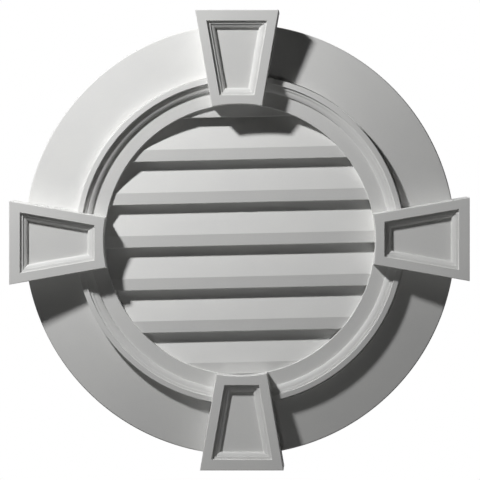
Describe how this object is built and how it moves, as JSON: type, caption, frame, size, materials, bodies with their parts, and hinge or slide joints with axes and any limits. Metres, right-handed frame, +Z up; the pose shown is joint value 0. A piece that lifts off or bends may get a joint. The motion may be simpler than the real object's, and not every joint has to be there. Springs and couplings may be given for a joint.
{
  "type": "round gable vent",
  "caption": "Round gable vent with fixed louvre slats in a moulded ring, a bevelled flat trim, panelled keystones and an insect screen, made to be fixed flat to a wall.",
  "frame": {"origin": "centre of the back face, where the vent meets the wall", "axes": "+Z up as installed, +X to the right seen from the front, +Y back into the wall, front towards -Y"},
  "size_m": [0.7714, 0.0747, 0.7714],
  "materials": {
    "primed_white": "white factory primer on cellular PVC, matte and slightly grainy",
    "screen_mesh": "plain mill finish wire mesh"
  },
  "bodies": {
    "root": {"flat_trim": "primed_white", "moulded_ring": "primed_white", "louvre_slat_1": "primed_white", "louvre_slat_2": "primed_white", "louvre_slat_3": "primed_white", "louvre_slat_4": "primed_white", "louvre_slat_5": "primed_white", "louvre_slat_6": "primed_white", "louvre_slat_7": "primed_white", "keystone_top": "primed_white", "keystone_right": "primed_white", "keystone_bottom": "primed_white", "keystone_left": "primed_white", "insect_screen": "screen_mesh"}
  },
  "joints": []
}
